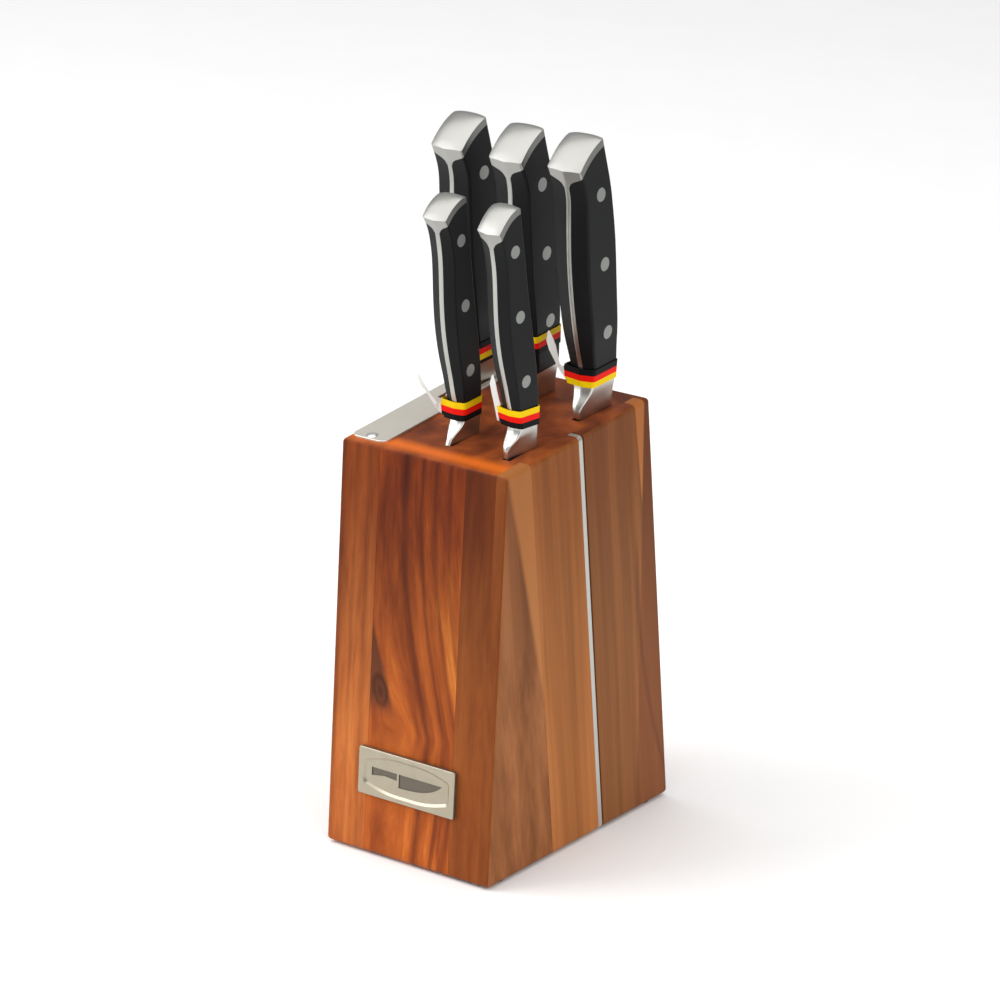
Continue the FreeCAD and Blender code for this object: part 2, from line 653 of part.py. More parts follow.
def label_wire(handle, height, slope, grow):
    """The loop of a paper band: snug on the handle, standing off at the belly's left corner."""
    station = station_at(handle, height)
    belly, spine = station[1] - grow, station[2] + grow
    belly_half, spine_half = station[3] + grow, station[4] + grow
    belly_crown, spine_crown = station[5], station[6]
    corners = [
        (0.0, belly), (belly_half, belly + belly_crown), (spine_half, spine - spine_crown),
        (0.0, spine), (-spine_half, spine - spine_crown),
        (-belly_half - LABEL_STAND_OFF, belly + belly_crown),
    ]
    points = [Vector(x, y, height + slope * y) for x, y in corners]
    return rounded_wire(points, [3.0, 1.2 + grow, 1.2 + grow, 3.0, 1.2 + grow, 0.5 + grow])


def label_tail(name, knife):
    """The loose end of the band: a thin ribbon that narrows as it curls away."""
    low = knife["label_from"]
    station = station_at(knife["handle"], low)
    root_x = -station[3] - LABEL_STAND_OFF
    root_y = station[1] + station[5]
    root = (root_y, (root_x, low + 0.4), (root_x, low + LABEL_HEIGHT - 0.4))
    half = Vector(0, LABEL_THICKNESS / 2, 0)
    wires = []
    for y, lower, upper in [root] + TAILS[name]:
        bottom = Vector(lower[0], y, lower[1])
        top = Vector(upper[0], y, upper[1])
        corners = [bottom - half, bottom + half, top + half, top - half]
        wires.append(Part.makePolygon(corners + [corners[0]]))
    return Part.makeLoft(wires, True, True)


def label(name, knife):
    """A printed paper band round the handle with its tail."""
    handle = knife["handle"]
    low = knife["label_from"]
    heights = (low, low + LABEL_HEIGHT)
    slope = knife["label_slope"]
    grow = LABEL_GAP + LABEL_THICKNESS
    outer = Part.makeLoft([label_wire(handle, h, slope, grow) for h in heights], True, True)
    inner = Part.makeLoft([label_wire(handle, h, slope, LABEL_GAP) for h in heights], True, True)
    tail = label_tail(name, knife).cut(inner)
    return only_solid(outer.cut(inner).fuse(tail))


def knife_place(knife):
    """Where a knife's own frame sits in the leaning frame."""
    pivot = Vector(0, knife["handle"]["pivot"], 0)
    twisted = Placement(Vector(0, 0, 0), Rotation(Vector(0, 0, 1), knife["twist"]), pivot)
    seat = Vector(knife["x"], knife["along"], SEAT_GAP - knife["foot"])
    tilted = Placement(seat, Rotation(Vector(1, 0, 0), knife["tilt"]))
    return tilted.multiply(twisted)


def below_seat(knife):
    """Everything under the bolster's foot, in the knife's own frame."""
    space = box((-BLOCK_WIDTH, BLOCK_WIDTH), (-BLOCK_WIDTH, 2 * BLOCK_WIDTH), (-60.0, SEAT_GAP))
    space.Placement = knife_place(knife).inverse()
    return space


def slab(low, high, x_range=(-20.0, 20.0)):
    """A box wider than any handle, between two heights along the knife."""
    return box(x_range, (-30.0, 60.0), (low, high))


def knife_pieces(name, knife):
    """The named pieces of one knife, in the leaning frame."""
    handle = knife["handle"]
    top = knife["bolster_top"]
    body = handle_body(handle, knife["toe"])
    body = only_solid(body.cut([above_pommel(handle), below_seat(knife)]))
    cap = cap_space(handle)
    bars = rivet_bars(handle)
    bolster = body.common(slab(-10.0, top))
    tang = body.common(slab(BLADE_ROOT, 200.0, (-TANG_HALF, TANG_HALF)))
    forging = bolster.fuse([tang, body.common(cap), blade(knife)])
    forging = only_solid(forging.cut(bars).removeSplitter())
    grips = body.common(slab(top, 200.0)).cut([cap] + bars)
    rivets = Part.makeCompound([only_solid(bar.common(body)) for bar in bars])
    pieces = {
        name + "_forging": forging,
        name + "_left_scale": only_solid(grips.common(slab(0.0, 200.0, (-20.0, -TANG_HALF)))),
        name + "_right_scale": only_solid(grips.common(slab(0.0, 200.0, (TANG_HALF, 20.0)))),
        name + "_rivets": rivets,
        name + "_label": label(name, knife),
    }
    for shape in pieces.values():
        shape.Placement = knife_place(knife).multiply(shape.Placement)
    return pieces


# ---------------------------------------------------------------- whole part
def block_pieces():
    """The named pieces of the block, in the part's own frame."""
    boards = block_boards(block_body())
    screws = [cover_screw(y) for y in screw_places()]
    pin_shapes = [place_on_front(badge_pin_shape(side)) for side in (-1, 1)]
    unlean = LEANING.inverse()
    pins_in_boards = []
    for pin in pin_shapes:
        copy = pin.copy()
        copy.Placement = unlean.multiply(copy.Placement)
        pins_in_boards.append(copy)
    drilled = {
        "left_board": screws,
        "left_slot_front_spacer": screws,
        "left_slot_rear_spacer": screws,
        "left_core_board": pins_in_boards,
        "right_core_board": pins_in_boards,
    }
    for name, tools in drilled.items():
        boards[name] = only_solid(boards[name].cut(tools))
    pieces = {name: lean(shape) for name, shape in boards.items()}
    pieces["top_cover_plate"] = lean(cover_plate())
    pieces["cover_plate_screws"] = lean(Part.makeCompound(screws))
    pieces["badge"] = place_on_front(badge())
    pieces["badge_pins"] = Part.makeCompound(pin_shapes)
    pieces["feet"] = Part.makeCompound(feet())
    return pieces


def main():
    pieces = block_pieces()
    for name, knife in KNIVES.items():
        for node, shape in knife_pieces(name, knife).items():
            pieces[node] = lean(shape)
    os.makedirs("parts", exist_ok=True)
    for node, shape in pieces.items():
        shape.exportStep("parts/" + node + ".step")


main()
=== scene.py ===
import math

import bpy
from mathutils import Matrix, Vector

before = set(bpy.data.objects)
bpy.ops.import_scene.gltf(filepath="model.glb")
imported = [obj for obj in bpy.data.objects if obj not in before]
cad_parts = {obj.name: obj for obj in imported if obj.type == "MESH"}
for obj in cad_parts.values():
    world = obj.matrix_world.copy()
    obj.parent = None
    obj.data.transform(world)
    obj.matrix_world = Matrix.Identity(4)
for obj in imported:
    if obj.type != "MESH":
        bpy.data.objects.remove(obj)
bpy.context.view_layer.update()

# A wooden knife block with five knives. Metres; +X right, -Y front with the badge, +Z up.
# The materials' recipes are in millimetres, in a frame that leans with the knives.
LEAN = math.radians(5.2)              # the knives, the slots and the wood's grain lean by this
TOP_FRONT = Vector((0.0, -0.06028, 0.21057))   # middle of the top's front edge
MM = 1000.0
# The top's front edge in the leaning frame, in millimetres: towards the back, and upwards.
TOP_BACK = MM * (TOP_FRONT.y * math.cos(LEAN) + TOP_FRONT.z * math.sin(LEAN))
TOP_UP = MM * (TOP_FRONT.z * math.cos(LEAN) - TOP_FRONT.y * math.sin(LEAN))

# ---------------------------------------------------------------- camera
AZIMUTH = math.radians(37.108)
ELEVATION = math.radians(19.424)
DISTANCE = 2.2399
TARGET = Vector((0.0004, 0.0003, 0.1719))
LENS = 162.0
SENSOR_WIDTH = 36.0
CLIP_END = 50.0


def make_camera():
    back = Vector((
        math.sin(AZIMUTH) * math.cos(ELEVATION),
        -math.cos(AZIMUTH) * math.cos(ELEVATION),
        math.sin(ELEVATION),
    ))
    data = bpy.data.cameras.new("camera")
    data.lens = LENS
    data.sensor_width = SENSOR_WIDTH
    data.clip_end = CLIP_END
    camera = bpy.data.objects.new("camera", data)
    camera.location = TARGET + back * DISTANCE
    camera.rotation_euler = (-back).to_track_quat("-Z", "Y").to_euler()
    bpy.context.scene.collection.objects.link(camera)
    bpy.context.scene.camera = camera


# ---------------------------------------------------------------- nodes in few words
class Look:
    """One procedural material, built from short calls. Lengths in its recipes are millimetres."""

    def __init__(self, name):
        self.material = bpy.data.materials.new(name)
        self.material.use_nodes = True
        self.tree = self.material.node_tree
        self.tree.nodes.clear()
        self.shader = self.node("ShaderNodeBsdfPrincipled")
        output = self.node("ShaderNodeOutputMaterial")
        self.tree.links.new(self.shader.outputs[0], output.inputs[0])
        self.coordinates = self.node("ShaderNodeTexCoord")

    def node(self, kind, **settings):
        made = self.tree.nodes.new(kind)
        for key, value in settings.items():
            setattr(made, key, value)
        return made

    def put(self, socket, value):
        """Sets a socket to a number or colour, or links it to another socket."""
        if isinstance(value, bpy.types.NodeSocket):
            self.tree.links.new(value, socket)
        elif isinstance(value, (tuple, list)) and socket.type == "RGBA":
            socket.default_value = (*value[:3], 1.0)
        else:
            socket.default_value = value

    def shade(self, **values):
        for key, value in values.items():
            self.put(self.shader.inputs[key.replace("_", " ")], value)

    def math(self, operation, a, b=0.0):
        made = self.node("ShaderNodeMath", operation=operation)
        self.put(made.inputs[0], a)
        self.put(made.inputs[1], b)
        return made.outputs[0]

    def add(self, a, b):
        return self.math("ADD", a, b)

    def minus(self, a, b):
        return self.math("SUBTRACT", a, b)

    def times(self, a, b):
        return self.math("MULTIPLY", a, b)

    def span(self, value, low, high, to_low=0.0, to_high=1.0):
        """A smooth step from to_low to to_high as value goes from low to high."""
        made = self.node("ShaderNodeMapRange", interpolation_type="SMOOTHSTEP")
        for index, item in enumerate((value, low, high, to_low, to_high)):
            self.put(made.inputs[index], item)
        return made.outputs[0]

    def mix(self, factor, a, b, blend="MIX"):
        made = self.node("ShaderNodeMix", data_type="RGBA", blend_type=blend)
        self.put(made.inputs["Factor"], factor)
        self.put(made.inputs[6], a)
        self.put(made.inputs[7], b)
        return made.outputs[2]

    def shaded(self, color, level):
        """The colour times a brightness."""
        return self.mix(1.0, color, self.join(level, level, level), "MULTIPLY")

    def place(self, lean, stretch=(1.0, 1.0, 1.0), shift=(0.0, 0.0, 0.0)):
        """The surface's own coordinates in millimetres, with Z along a leaning axis."""
        made = self.node("ShaderNodeMapping")
        made.inputs["Rotation"].default_value = (-lean, 0.0, 0.0)
        made.inputs["Scale"].default_value = (MM, MM, MM)
        self.put(made.inputs["Vector"], self.coordinates.outputs["Object"])
        return self.stretch(made.outputs[0], stretch, shift)

    def stretch(self, vector, factors, shift=(0.0, 0.0, 0.0)):
        made = self.node("ShaderNodeMapping")
        made.inputs["Scale"].default_value = factors
        made.inputs["Location"].default_value = shift
        self.put(made.inputs["Vector"], vector)
        return made.outputs[0]

    def split(self, vector):
        made = self.node("ShaderNodeSeparateXYZ")
        self.put(made.inputs[0], vector)
        return made.outputs

    def join(self, x, y, z):
        made = self.node("ShaderNodeCombineXYZ")
        for index, item in enumerate((x, y, z)):
            self.put(made.inputs[index], item)
        return made.outputs[0]

    def noise(self, vector, detail=2.0, roughness=0.5, distortion=0.0):
        """Noise with features about one unit of the vector across."""
        made = self.node("ShaderNodeTexNoise")
        self.put(made.inputs["Vector"], vector)
        made.inputs["Scale"].default_value = 1.0
        made.inputs["Detail"].default_value = detail
        made.inputs["Roughness"].default_value = roughness
        made.inputs["Distortion"].default_value = distortion
        return made.outputs[0]

    def ramp(self, factor, stops):
        """A colour between stops, each a position and a colour."""
        made = self.node("ShaderNodeValToRGB")
        ramp = made.color_ramp
        while len(ramp.elements) < len(stops):
            ramp.elements.new(0.5)
        for element, (position, color) in zip(ramp.elements, stops):
            element.position = position
            element.color = (*color, 1.0)
        self.put(made.inputs[0], factor)
        return made.outputs[0]

    def bump(self, height, strength, distance):
        """Fine relief in the normal; distance is in metres."""
        made = self.node("ShaderNodeBump")
        made.inputs["Strength"].default_value = strength
        made.inputs["Distance"].default_value = distance
        self.put(made.inputs["Height"], height)
        self.put(self.shader.inputs["Normal"], made.outputs[0])

    def near(self, value, centre, width):
        """1 at the centre, falling smoothly to 0 at a distance of width from it."""
        away = self.math("ABSOLUTE", self.minus(value, centre))
        return self.span(away, 0.0, width, 1.0, 0.0)


def srgb(red, green, blue):
    """A colour given as 0 to 255 screen values, as the linear numbers a shader takes."""
    def linear(value):
        share = value / 255.0
        return share / 12.92 if share <= 0.04045 else ((share + 0.055) / 1.055) ** 2.4
    return (linear(red), linear(green), linear(blue))


# ---------------------------------------------------------------- wood
# Each board's tones: the darkest streaks, the darker and the lighter ground, the palest lines.
LEFT_TONES = (srgb(108, 48, 18), srgb(150, 78, 34), srgb(176, 98, 46), srgb(200, 122, 62))
CENTRE_TONES = (srgb(94, 40, 12), srgb(138, 65, 24), srgb(170, 86, 32), srgb(212, 128, 52))
RIGHT_TONES = (srgb(84, 38, 12), srgb(116, 57, 20), srgb(134, 71, 28), srgb(156, 89, 40))
SIDE_TONES = (srgb(110, 62, 26), srgb(142, 86, 42), srgb(160, 98, 50), srgb(184, 118, 62))
REAR_TONES = (srgb(84, 46, 22), srgb(111, 67, 34), srgb(128, 79, 42), srgb(154, 98, 54))
CORNER_TONES = (srgb(102, 58, 30), srgb(131, 79, 42), srgb(149, 92, 52), srgb(173, 112, 68))
TONE_STOPS = (0.08, 0.36, 0.60, 0.92)
SAPWOOD = srgb(188, 122, 68)
SAPWOOD_COVER = 0.85
DARK_LINE = srgb(78, 30, 14)
SEAM_LINE = srgb(60, 26, 14)
UPPER_SHADE_TINT = (0.92, 0.56, 0.20)       # painted shade: darkens and reddens the wood towards the top
TOP_PATCHES = [(0.32, srgb(92, 40, 16)), (0.5, srgb(126, 60, 26)), (0.68, srgb(160, 80, 32))]
# painted highlight along the top's front edge
TOP_EDGE_HIGHLIGHT = srgb(218, 106, 28)
TOP_DOTS = srgb(88, 36, 16)
WOOD_GLOSS = 0.11
WOOD_RELIEF = 0.0001                  # metres
SEAMS = (-27.2, 26.0)                 # glue lines, across the block
# Growth lines: place across, half width, strength.
CENTRE_STREAKS = [
    (-10.6, 3.6, 0.6), (0.1, 2.4, 0.5), (8.2, 2.8, 0.45), (16.8, 2.4, 0.4), (28.8, 2.0, 0.3),
]
LEFT_STREAKS = [(-33.0, 2.6, 0.3), (-49.5, 3.0, 0.4), (-41.0, 2.0, 0.2)]


def grain(look, tones, seed, contrast, flow=None):
    """Acacia heartwood as a solid: growth streaks and short pores along Z. Returns the colour, the
    pores, the fine lines and the place across; flow, if given, replaces that place in the grain."""
    place = look.place(LEAN)
    x, y, z = look.split(place)
    wander = look.noise(look.stretch(place, (0.02, 0.02, 0.007), (seed, 0.0, 0.0)), detail=1.0)
    sway = look.times(look.minus(wander, 0.5), 8.0)
    x_flow = look.add(x if flow is None else flow, sway)
    body = look.join(x_flow, look.add(y, sway), z)
    broad = look.noise(look.stretch(body, (0.075, 0.055, 0.003), (seed, seed, 0.0)), detail=2.0)
    bands = look.noise(look.stretch(body, (0.22, 0.16, 0.0025), (seed, 0.0, seed)), detail=2.0)
    lines = look.noise(look.stretch(body, (0.75, 0.5, 0.005), (0.0, seed, seed)), detail=3.0,
                       roughness=0.6)
    field = look.add(look.times(broad, 0.5), look.times(bands, 0.32))
    field = look.add(field, look.times(lines, 0.18))
    field = look.add(look.times(look.minus(field, 0.5), contrast * 2.6), 0.5)
    color = look.ramp(field, list(zip(TONE_STOPS, tones)))
    pores = look.noise(look.stretch(body, (3.6, 3.6, 0.12), (0.0, 0.0, seed)), detail=1.0)
    pore = look.span(pores, 0.62, 0.72)
    color = look.mix(look.times(pore, 0.18), color, tones[0])
    return color, pore, lines, x


def end_grain_mask(look):
    """1 on the block's top, 0 on its sides."""
    normal = look.node("ShaderNodeMapping", vector_type="NORMAL")
    normal.inputs["Rotation"].default_value = (-LEAN, 0.0, 0.0)
    look.put(normal.inputs["Vector"], look.coordinates.outputs["Normal"])
    return look.span(look.split(normal.outputs[0])[2], 0.6, 0.98)


def finish_wood(look, color, pore, lines, top, high=0.50, low=1.22, upper_shade=0.8):
    """Adds the oiled surface: satin, with open pores, with painted shade that makes it darker and
    redder towards the top and paler towards the base, and end grain in soft patches on the top,
    with a painted highlight along its front edge. High and low are the painted brightness at the
    top and at the base, upper_shade how strongly the painted shade tints the upper part."""
    back, below = along_top(look)
    # painted shade: the wood darker at the top and paler towards the base
    painted_height_shade = look.span(below, -10.0, 190.0, high, low)
    color = look.shaded(color, painted_height_shade)
    # painted shade: the upper part darkened and reddened
    color = look.mix(look.span(below, -5.0, 90.0, upper_shade, 0.0), color, UPPER_SHADE_TINT, "MULTIPLY")
    patch = look.noise(look.place(LEAN, (0.06, 0.05, 0.0)), detail=2.0, distortion=0.6)
    warm = look.ramp(patch, TOP_PATCHES)
    # painted highlight: a bright band along the top's front edge
    warm = look.mix(look.times(look.near(back, 7.5, 9.0), 0.9), warm, TOP_EDGE_HIGHLIGHT)
    dots = look.noise(look.place(LEAN, (1.1, 1.1, 1.1)), detail=3.0, roughness=0.7)
    warm = look.mix(look.span(dots, 0.45, 0.75, 0.0, 0.25), warm, TOP_DOTS)
    color = look.mix(top, color, warm)
    rough = look.add(look.times(lines, 0.12), 0.42)
    look.shade(Base_Color=color, Roughness=look.add(rough, look.times(pore, 0.1)))
    look.shade(Specular_IOR_Level=WOOD_GLOSS)
    height = look.minus(look.times(lines, 0.3), look.times(pore, 0.6))
    look.bump(height, 0.25, WOOD_RELIEF)
    return look.material


def seams(look, color, x):
    """Thin dark glue lines on both sides of the centre stave."""
    for place in SEAMS:
        color = look.mix(look.times(look.near(x, place, 0.4), 0.35), color, SEAM_LINE)
    return color


def streaks(look, color, across, places):
    for centre, width, depth in places:
        color = look.mix(look.times(look.near(across, centre, width), depth), color, DARK_LINE)
    return color


def left_wood():
    look = Look("acacia_left")
    color, pore, lines, x = grain(look, LEFT_TONES, 3.1, 0.7)
    color = streaks(look, color, x, LEFT_STREAKS)
    color = seams(look, color, x)
    return finish_wood(look, color, pore, lines, end_grain_mask(look))


BEND_FROM, BEND_TO = 18.0, 140.0      # how far below the top the streaks bend to the right
BEND = 0.0014                         # their sideways curve, per millimetre
BEND_BACK = 0.10                      # their slope back to the left below that


def centre_wood():
    """The stave with curved dark streaks and a knot beside its left glue line."""
    look = Look("acacia_centre")
    x, y, z = look.split(look.place(LEAN))
    below = look.minus(TOP_UP, z)
    upper = look.minus(look.math("MINIMUM", below, BEND_TO), BEND_FROM)
    bend = look.times(look.times(upper, upper), BEND)
    lower = look.math("MAXIMUM", look.minus(below, BEND_TO), 0.0)
    bend = look.minus(bend, look.times(lower, BEND_BACK))
    reach = look.span(x, -24.0, -2.0, 0.25, 1.0)
    across = look.minus(x, look.times(bend, reach))
    color, pore, lines, _ = grain(look, CENTRE_TONES, 8.4, 0.75, across)
    color = streaks(look, color, across, CENTRE_STREAKS)
    color = knot(look, color, x, below)
    color = seams(look, color, x)
    return finish_wood(look, color, pore, lines, end_grain_mask(look))


KNOT_X, KNOT_BELOW = -21.0, 122.0     # the knot's middle, across and below the top
KNOT_HALF_WIDTH, KNOT_HALF_HEIGHT = 6.5, 11.0
SMEAR_START, SMEAR_END = 84.0, 137.0  # the dark smear round it, below the top
SMEAR_TONE = srgb(84, 46, 28)
KNOT_RING = srgb(52, 26, 17)
KNOT_HEART = srgb(62, 30, 20)


def knot(look, color, x, below):
    """A dark smear that widens downwards to a small knot, cut off by the glue line on its left."""
    swirl = look.noise(look.join(look.times(x, 0.2), 0.0, look.times(below, 0.06)), detail=3.0)
    turn = look.times(look.minus(swirl, 0.5), 5.0)
    right = look.add(look.times(look.minus(below, SMEAR_START + 4.0), 0.34), turn)
    inside = look.span(look.minus(look.minus(x, SEAMS[0]), right), -1.5, 1.8, 1.0, 0.0)
    inside = look.times(inside, look.span(below, SMEAR_START, SMEAR_START + 8.0))
    ending = look.span(look.add(below, turn), SMEAR_END - 13.0, SMEAR_END, 1.0, 0.0)
    inside = look.times(inside, ending)
    color = look.mix(look.times(inside, 0.85), color, SMEAR_TONE)
    u = look.math("DIVIDE", look.minus(x, KNOT_X), KNOT_HALF_WIDTH)
    v = look.math("DIVIDE", look.minus(below, KNOT_BELOW), KNOT_HALF_HEIGHT)
    slant = look.minus(u, look.times(v, 0.3))
    radius = look.math("SQRT", look.add(look.times(slant, slant), look.times(v, v)))
    radius = look.add(radius, look.times(turn, 0.08))
    ring = look.times(look.near(radius, 0.62, 0.3), inside)
    color = look.mix(look.times(ring, 0.6), color, KNOT_RING)
    heart = look.times(look.span(radius, 0.1, 0.5, 0.6, 0.0), inside)
    return look.mix(heart, color, KNOT_HEART)


def right_grain(look):
    color, pore, lines, x = grain(look, RIGHT_TONES, 12.7, 0.6)
    return seams(look, color, x), pore, lines


def right_wood():
    look = Look("acacia_right")
    color, pore, lines = right_grain(look)
    return finish_wood(look, color, pore, lines, end_grain_mask(look))


def along_top(look):
    """How far back from the top's front edge, and how far below it, in the leaning frame."""
    leaning = look.split(look.place(LEAN))
    return look.minus(leaning[1], TOP_BACK), look.minus(TOP_UP, leaning[2])


def front_mask(look):
    """1 on the block's front face, 0 on its right side."""
    facing = look.split(look.coordinates.outputs["Normal"])[1]
    return look.span(facing, -0.75, -0.6, 1.0, 0.0)


CORNER_SLOPE = 0.142                  # the pale wedge's front edge, back per millimetre down
WEDGE_FADE, WEDGE_END = 118.0, 150.0  # where the wedge ends, below the top
CORNER_SEAM = 18.6                    # the glue line behind the corner board, along the top
CORNER_SEAM_LINE = srgb(84, 48, 30)
ARCH_FROM, ARCH = 90.0, 0.16          # the corner board's grain arches sideways below this


def corner_wood():
    """The narrow side board with a wedge of sapwood that starts at the near top corner; its
    front edge matches the front's right stave."""
    look = Look("acacia_corner")
    x, y, z = look.split(look.place(LEAN))
    back, below = along_top(look)
    arch = look.times(look.math("MAXIMUM", look.minus(below, ARCH_FROM), 0.0), ARCH)
    color, pore, lines, _ = grain(look, CORNER_TONES, 21.3, 0.8, look.add(x, arch))
    wobble = look.noise(look.join(0.0, look.times(y, 0.1), look.times(z, 0.02)), detail=2.0)
    edge = look.add(look.times(below, CORNER_SLOPE), look.times(look.minus(wobble, 0.5), 2.0))
    inside = look.span(look.minus(back, edge), -1.6, 2.6)
    pale = look.times(inside, look.span(below, WEDGE_FADE, WEDGE_END, 1.0, 0.0))
    color = look.mix(look.times(pale, SAPWOOD_COVER), color, SAPWOOD)
    seam = look.times(look.near(back, CORNER_SEAM, 0.5), 0.4)
    color = look.mix(seam, color, CORNER_SEAM_LINE)
    color = look.mix(front_mask(look), color, right_grain(look)[0])
    top = look.times(end_grain_mask(look), look.minus(1.0, pale))
    # The last three numbers set the painted shade: brightness at the top, at the base, and the
    # upper tint.
    return finish_wood(look, color, pore, lines, top, 0.78, 1.05, 0.2)


def side_wood():
    look = Look("acacia_side")
    color, pore, lines, _ = grain(look, SIDE_TONES, 33.6, 0.7)
    # The last three numbers set the painted shade: brightness at the top, at the base, and the
    # upper tint.
    return finish_wood(look, color, pore, lines, end_grain_mask(look), 0.85, 1.2, 0.35)


SAG_MIDDLE, SAG = 105.0, 0.0016       # the dark streak's foremost height, and its curve
SAG_BACK = 100.0                      # how far back it is there
STREAK_TONE = srgb(82, 46, 32)
REAR_SHADE = srgb(98, 48, 28)
# The short pale wedge between two edges, each given at the top and as its slope going down.
REAR_WEDGE = ((104.6, 0.045), (113.0, -0.105))


def rear_wood():
    """The rear side board: a curved dark streak and a short wedge of sapwood at the top."""
    look = Look("acacia_rear")
    color, pore, lines, _ = grain(look, REAR_TONES, 41.9, 0.7)
    back, below = along_top(look)
    away = look.minus(below, SAG_MIDDLE)
    path = look.add(look.times(look.times(away, away), SAG), SAG_BACK)
    streak = look.times(look.near(back, path, 3.0), look.span(below, 60.0, 100.0))
    color = look.mix(look.times(streak, 0.5), color, STREAK_TONE)
    left_edge, right_edge = [
        look.add(look.times(below, slope), start) for start, slope in REAR_WEDGE
    ]
    pale = look.times(
        look.span(look.minus(back, left_edge), -0.5, 0.8),
        look.span(look.minus(right_edge, back), -0.4, 0.8),
    )
    shade = look.times(look.span(look.minus(back, right_edge), -0.3, 0.6), 0.45)
    color = look.mix(shade, color, REAR_SHADE)
    color = look.mix(look.times(pale, SAPWOOD_COVER), color, SAPWOOD)
    top = look.times(end_grain_mask(look), look.minus(1.0, pale))
    # The last three numbers set the painted shade: brightness at the top, at the base, and the
    # upper tint.
    return finish_wood(look, color, pore, lines, top, 0.84, 1.38, 0.4)


# ---------------------------------------------------------------- metal
METAL_RELIEF = 0.00003                # metres


def brushed(name, color, roughness, direction, lean=0.0):
    """Steel with fine brush marks: direction gives the mark's stretch along X, Y and Z."""
    look = Look(name)
    marks = look.noise(look.place(lean, direction), detail=4.0, roughness=0.7)
    cloud = look.noise(look.place(lean, (0.05, 0.05, 0.05)), detail=2.0)
    tone = look.mix(look.span(marks, 0.3, 0.7, 0.0, 0.22), color, tuple(0.72 * c for c in color))
    tone = look.mix(look.span(cloud, 0.35, 0.7, 0.0, 0.12), tone, tuple(0.8 * c for c in color))
    look.shade(Base_Color=tone, Metallic=1.0)
    look.shade(Roughness=look.add(look.times(marks, 0.10), roughness - 0.05))
    look.bump(marks, 0.25, METAL_RELIEF)
    return look.material


STRIP_STEEL = srgb(198, 196, 190)
PLATE_STEEL = srgb(226, 221, 210)
SCREW_STEEL = srgb(215, 214, 210)
PIN_STEEL = srgb(190, 188, 184)
RIVET_STEEL = srgb(150, 152, 148)
STEEL = srgb(205, 204, 199)
STEEL_MARKS = srgb(178, 177, 172)
STEEL_CLOUDS = srgb(170, 169, 164)
POMMEL_FROM, POMMEL_TO = 95.0, 112.0  # above the top: where the painted shade on the pommels starts
TANG_FROM, TANG_TO = 14.0, 40.0       # above the top: where the painted shade that greys the forging starts


def forged_steel():
    """Polished at the bolsters; painted shade makes the pommels darker, their flanks that face
    the sides darker still, and the forging above the bolsters a little greyer.
    """
    look = Look("forged_steel")
    place = look.place(LEAN)
    above = look.minus(look.split(place)[2], TOP_UP)
    marks = look.noise(look.stretch(place, (7.0, 0.25, 7.0)), detail=4.0, roughness=0.7)
    cloud = look.noise(look.stretch(place, (0.05, 0.05, 0.05)), detail=2.0)
    tone = look.mix(look.span(marks, 0.3, 0.7, 0.0, 0.2), STEEL, STEEL_MARKS)
    tone = look.mix(look.span(cloud, 0.35, 0.7, 0.0, 0.12), tone, STEEL_CLOUDS)
    # painted shade: the pommels darker, their side flanks darker still
    high = look.span(above, POMMEL_FROM, POMMEL_TO)
    facing = look.math("ABSOLUTE", look.split(look.coordinates.outputs["Normal"])[0])
    painted_flank_shade = look.times(look.span(facing, 0.78, 0.95), high)
    shade = look.minus(1.0, look.times(high, 0.40))
    shade = look.times(shade, look.minus(1.0, look.times(painted_flank_shade, 0.42)))
    # painted shade: the forging above the bolsters a little greyer
    strip = look.span(above, TANG_FROM, TANG_TO, 0.0, 0.28)
    strip = look.times(strip, look.minus(1.0, high))
    shade = look.times(shade, look.minus(1.0, strip))
    look.shade(Base_Color=look.shaded(tone, shade), Metallic=1.0)
    look.shade(Roughness=look.add(look.times(marks, 0.10), 0.27))
    look.bump(marks, 0.2, METAL_RELIEF)
    return look.material


FRONT_LEAN = math.radians(4.43)       # the front face leans back by this
MOTIF_FLOOR = 77.56                   # the motif's floor, out from the origin across the front
PANEL_FLOOR = 78.06                   # and the sunken panel's
NICKEL = srgb(178, 170, 151)
NICKEL_MARKS = srgb(150, 142, 125)
NICKEL_CLOUDS = srgb(146, 137, 120)
PANEL_PATINA = srgb(140, 128, 110)
MOTIF_PATINA = srgb(70, 62, 52)


def badge_nickel():
    """Satin nickel with a dark patina on the floors of its sunken panel and motif."""
    look = Look("badge_nickel")
    upright = look.split(look.place(0.0))
    out = look.minus(look.times(upright[2], math.sin(FRONT_LEAN)),
                     look.times(upright[1], math.cos(FRONT_LEAN)))
    marks = look.noise(look.place(0.0, (0.25, 6.0, 6.0)), detail=4.0, roughness=0.7)
    cloud = look.noise(look.place(0.0, (0.12, 0.12, 0.12)), detail=2.0)
    tone = look.mix(look.span(marks, 0.3, 0.7, 0.0, 0.25), NICKEL, NICKEL_MARKS)
    tone = look.mix(look.span(cloud, 0.4, 0.7, 0.0, 0.15), tone, NICKEL_CLOUDS)
    sunk = look.span(out, PANEL_FLOOR, PANEL_FLOOR + 0.25, 1.0, 0.0)
    tone = look.mix(look.times(sunk, 0.08), tone, PANEL_PATINA)
    deep = look.span(out, MOTIF_FLOOR + 0.05, PANEL_FLOOR - 0.05, 1.0, 0.0)
    tone = look.mix(look.times(deep, 0.8), tone, MOTIF_PATINA)
    look.shade(Base_Color=tone, Metallic=look.minus(1.0, look.times(deep, 0.5)))
    look.shade(Roughness=look.add(look.times(marks, 0.12), 0.30))
    look.bump(marks, 0.25, METAL_RELIEF)
    return look.material


